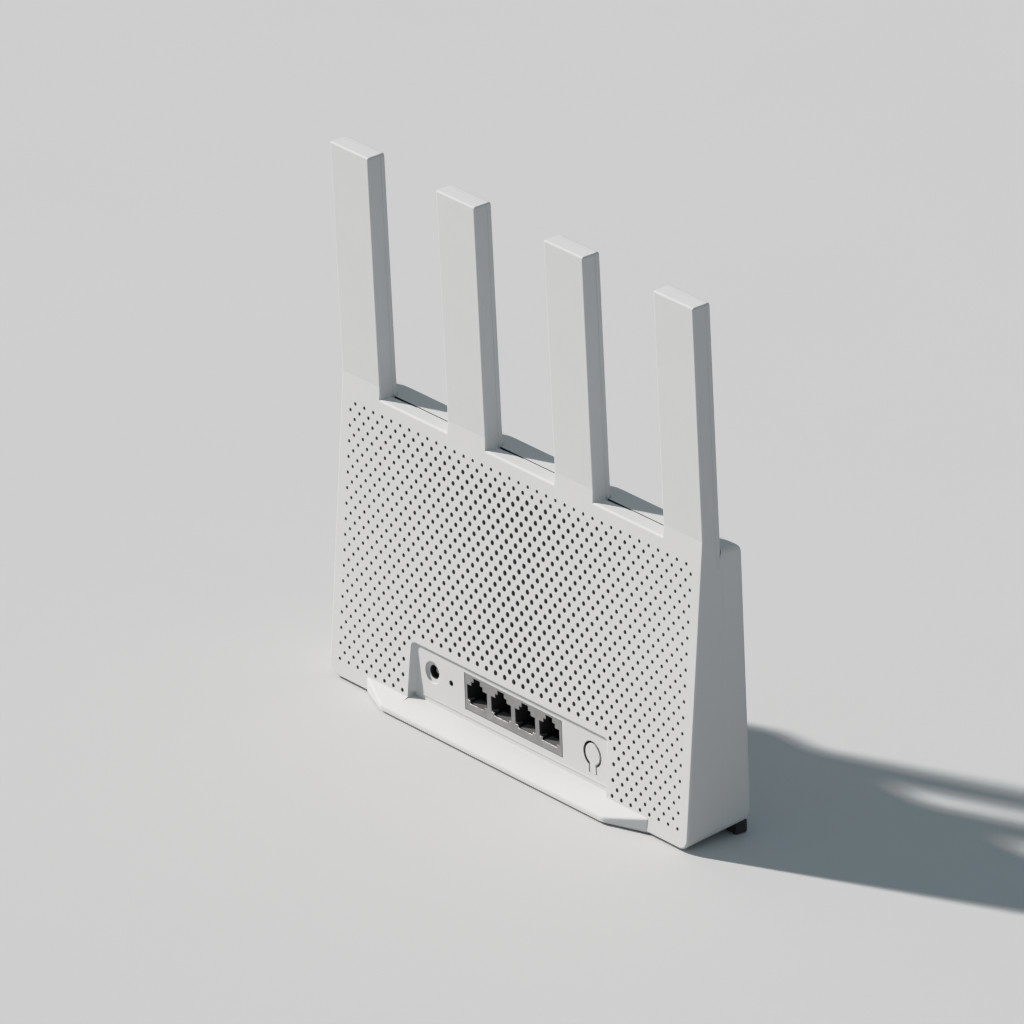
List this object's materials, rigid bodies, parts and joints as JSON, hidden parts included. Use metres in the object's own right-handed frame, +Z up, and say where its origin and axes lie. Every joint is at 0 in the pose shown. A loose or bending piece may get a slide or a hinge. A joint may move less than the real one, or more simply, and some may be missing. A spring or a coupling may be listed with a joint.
{
  "type": "mesh wifi node",
  "caption": "Upright wireless router with a wedge-shaped body, perforated rear panel, fixed flat blade antennas, a recessed row of network ports and a shelf-like rear stand.",
  "frame": {"origin": "middle of the bottom of the whole object's box, on the surface that its feet stand on", "axes": "+X along the width, towards the power inlet; +Y towards the rear, where the ports are; +Z up"},
  "size_m": [0.208, 0.0372, 0.2083],
  "materials": {
    "white_shell": "fine satin texture",
    "circuit_board": "solder mask",
    "cable_jacket": "smooth",
    "gold_contact": "plated",
    "steel_screw": "zinc plated",
    "port_steel": "stamped sheet, satin",
    "black_plastic": "moulded, satin",
    "pin_metal": "plated",
    "button_metal": "satin",
    "chip_black": "moulded epoxy",
    "sink_aluminium": "extruded",
    "thermal_pad": "soft",
    "capacitor_can": "sleeved can",
    "led_lens": "translucent milky",
    "foot_rubber": "dull",
    "label_film": "printed film, blank"
  },
  "bodies": {
    "housing": {"front_shell": "white_shell", "rear_cover": "white_shell", "port_wall": "white_shell", "rear_grille": "white_shell", "side_grille_1": "white_shell", "side_grille_2": "white_shell", "antenna_back_1": "white_shell", "antenna_back_2": "white_shell", "antenna_back_3": "white_shell", "antenna_back_4": "white_shell", "antenna_cover_1": "white_shell", "antenna_cover_2": "white_shell", "antenna_cover_3": "white_shell", "antenna_cover_4": "white_shell", "antenna_board_1": "circuit_board", "antenna_board_2": "circuit_board", "antenna_board_3": "circuit_board", "antenna_board_4": "circuit_board", "antenna_coax_1": "cable_jacket", "antenna_coax_2": "cable_jacket", "antenna_coax_3": "cable_jacket", "antenna_coax_4": "cable_jacket", "coax_plugs": "gold_contact", "main_board": "circuit_board", "board_screws": "steel_screw", "port_shield": "port_steel", "port_insulator": "black_plastic", "port_contacts": "gold_contact", "dc_jack_body": "black_plastic", "dc_jack_pin": "pin_metal", "reset_switch": "black_plastic", "mesh_switch": "black_plastic", "processor_chip": "chip_black", "memory_chip": "chip_black", "flash_chip": "chip_black", "radio_chips": "chip_black", "shield_cans": "port_steel", "heatsink": "sink_aluminium", "heatsink_pad": "thermal_pad", "heatsink_clips": "black_plastic", "heat_spreader": "sink_aluminium", "spreader_pad": "thermal_pad", "network_transformers": "chip_black", "capacitors": "capacitor_can", "power_inductors": "chip_black", "status_led": "led_lens", "light_pipe": "led_lens", "cover_screws": "steel_screw", "front_feet": "foot_rubber", "rear_feet": "foot_rubber", "rating_label": "label_film"},
    "mesh_key": {"mesh_key": "white_shell"},
    "mesh_plunger": {"mesh_plunger": "button_metal"},
    "reset_plunger": {"reset_plunger": "button_metal"}
  },
  "joints": [
    {"name": "mesh_key_press", "type": "slide", "parent": "housing", "child": "mesh_key", "axis": [0, -0.999, 0.0436], "range_m": [0, 0.00025], "stiffness_N_per_m": 6400},
    {"name": "mesh_plunger_travel", "type": "slide", "parent": "housing", "child": "mesh_plunger", "axis": [0, -0.999, 0.0436], "range_m": [0, 0.0006]},
    {"name": "reset_plunger_travel", "type": "slide", "parent": "housing", "child": "reset_plunger", "axis": [0, -0.999, 0.0436], "range_m": [0, 0.00025], "stiffness_N_per_m": 6400}
  ],
  "couplings": [
    {"joint": "mesh_plunger_travel", "follows": "mesh_key_press", "ratio": 1}
  ]
}
